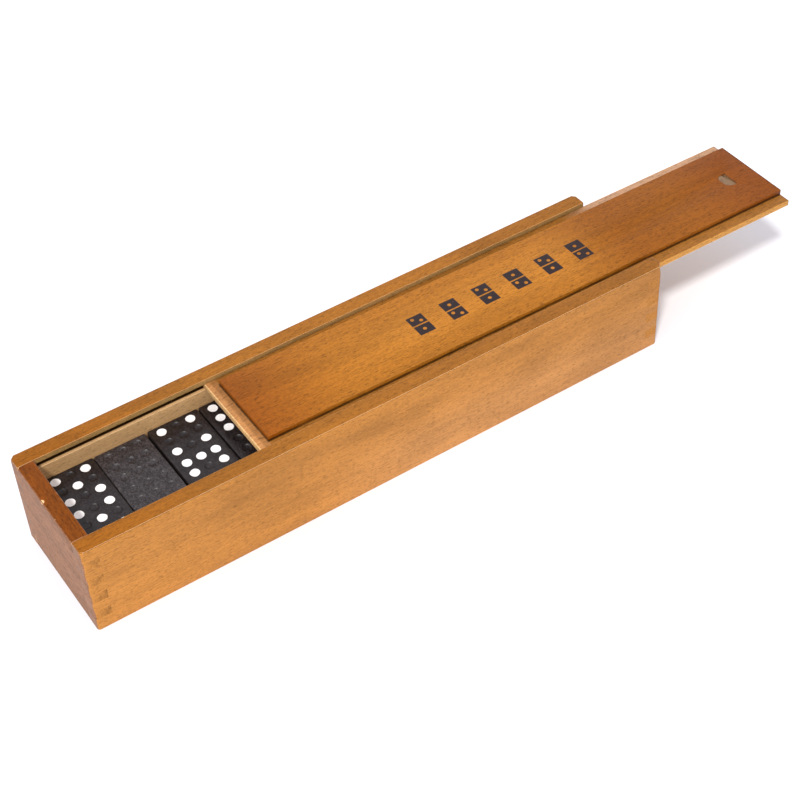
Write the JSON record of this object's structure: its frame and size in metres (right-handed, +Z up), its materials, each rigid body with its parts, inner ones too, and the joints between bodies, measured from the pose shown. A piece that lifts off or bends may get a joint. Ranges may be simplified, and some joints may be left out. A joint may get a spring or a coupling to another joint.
{
  "type": "boxed domino set",
  "caption": "Domino tiles with dimpled faces, stacked in a finger-jointed wooden box whose rebated lid slides along slots in the walls.",
  "frame": {"origin": "centre of the box's underside", "axes": "+X along the box towards the end the lid leaves by, +Y to the back wall, +Z up"},
  "size_m": [0.3367, 0.0584, 0.0426],
  "materials": {
    "beech": "satin varnish",
    "beech_dark": "satin varnish",
    "beech_bare": "bare",
    "beech_lid": "satin varnish",
    "tile_black": "semi-gloss"
  },
  "bodies": {
    "box": {"front_wall": "beech", "back_wall": "beech", "near_end_wall": "beech_dark", "far_end_wall": "beech", "bottom_board": "beech_bare", "tile_6_7": "tile_black", "tile_3_8": "tile_black", "tile_1_9": "tile_black", "tile_0_4": "tile_black", "tile_0_6": "tile_black", "tile_6_8": "tile_black", "tile_3_9": "tile_black", "tile_2_2": "tile_black", "tile_0_5": "tile_black", "tile_2_9": "tile_black", "tile_6_9": "tile_black", "tile_4_5": "tile_black", "tile_2_3": "tile_black", "tile_0_7": "tile_black", "tile_1_3": "tile_black", "tile_7_8": "tile_black", "tile_4_6": "tile_black", "tile_2_4": "tile_black", "tile_0_8": "tile_black", "tile_7_7": "tile_black", "tile_7_9": "tile_black", "tile_4_7": "tile_black", "tile_2_6": "tile_black", "tile_0_9": "tile_black", "tile_3_6": "tile_black", "tile_8_8": "tile_black", "tile_4_9": "tile_black", "tile_2_7": "tile_black", "tile_1_1": "tile_black", "tile_1_8": "tile_black", "tile_5_6": "tile_black", "tile_2_8": "tile_black", "tile_1_2": "tile_black", "tile_4_4": "tile_black", "tile_5_7": "tile_black", "tile_3_3": "tile_black", "tile_1_4": "tile_black", "tile_2_5": "tile_black", "tiles_8_9_and_9_9": "tile_black"},
    "lid": {"lid": "beech_lid"},
    "tile_5_8": {"tile_5_8": "tile_black"},
    "tile_3_4": {"tile_3_4": "tile_black"},
    "tile_1_5": {"tile_1_5": "tile_black"},
    "tile_0_1": {"tile_0_1": "tile_black"},
    "tile_5_5": {"tile_5_5": "tile_black"},
    "tile_5_9": {"tile_5_9": "tile_black"},
    "tile_3_5": {"tile_3_5": "tile_black"},
    "tile_1_6": {"tile_1_6": "tile_black"},
    "tile_0_2": {"tile_0_2": "tile_black"},
    "tile_0_0": {"tile_0_0": "tile_black"},
    "tile_6_6": {"tile_6_6": "tile_black"},
    "tile_3_7": {"tile_3_7": "tile_black"},
    "tile_1_7": {"tile_1_7": "tile_black"},
    "tile_0_3": {"tile_0_3": "tile_black"},
    "tile_4_8": {"tile_4_8": "tile_black"}
  },
  "joints": [
    {"name": "lid_slide", "type": "slide", "parent": "box", "child": "lid", "axis": [1, 0, 0], "range_m": [-0.073, 0.186]},
    {"name": "lift_tile_5_8", "type": "slide", "parent": "box", "child": "tile_5_8", "axis": [0, 0, 1], "range_m": [0, 0.042]},
    {"name": "lift_tile_3_4", "type": "slide", "parent": "tile_5_8", "child": "tile_3_4", "axis": [0, 0, 1], "range_m": [0, 0.036]},
    {"name": "lift_tile_1_5", "type": "slide", "parent": "tile_3_4", "child": "tile_1_5", "axis": [0, 0, 1], "range_m": [0, 0.031]},
    {"name": "lift_tile_0_1", "type": "slide", "parent": "tile_1_5", "child": "tile_0_1", "axis": [0, 0, 1], "range_m": [0, 0.025]},
    {"name": "lift_tile_5_5", "type": "slide", "parent": "tile_0_1", "child": "tile_5_5", "axis": [0, 0, 1], "range_m": [0, 0.02]},
    {"name": "lift_tile_5_9", "type": "slide", "parent": "box", "child": "tile_5_9", "axis": [0, 0, 1], "range_m": [0, 0.042]},
    {"name": "lift_tile_3_5", "type": "slide", "parent": "tile_5_9", "child": "tile_3_5", "axis": [0, 0, 1], "range_m": [0, 0.036]},
    {"name": "lift_tile_1_6", "type": "slide", "parent": "tile_3_5", "child": "tile_1_6", "axis": [0, 0, 1], "range_m": [0, 0.031]},
    {"name": "lift_tile_0_2", "type": "slide", "parent": "tile_1_6", "child": "tile_0_2", "axis": [0, 0, 1], "range_m": [0, 0.025]},
    {"name": "lift_tile_0_0", "type": "slide", "parent": "tile_0_2", "child": "tile_0_0", "axis": [0, 0, 1], "range_m": [0, 0.02]},
    {"name": "lift_tile_6_6", "type": "slide", "parent": "box", "child": "tile_6_6", "axis": [0, 0, 1], "range_m": [0, 0.042]},
    {"name": "lift_tile_3_7", "type": "slide", "parent": "tile_6_6", "child": "tile_3_7", "axis": [0, 0, 1], "range_m": [0, 0.036]},
    {"name": "lift_tile_1_7", "type": "slide", "parent": "tile_3_7", "child": "tile_1_7", "axis": [0, 0, 1], "range_m": [0, 0.031]},
    {"name": "lift_tile_0_3", "type": "slide", "parent": "tile_1_7", "child": "tile_0_3", "axis": [0, 0, 1], "range_m": [0, 0.025]},
    {"name": "lift_tile_4_8", "type": "slide", "parent": "tile_0_3", "child": "tile_4_8", "axis": [0, 0, 1], "range_m": [0, 0.02]}
  ]
}
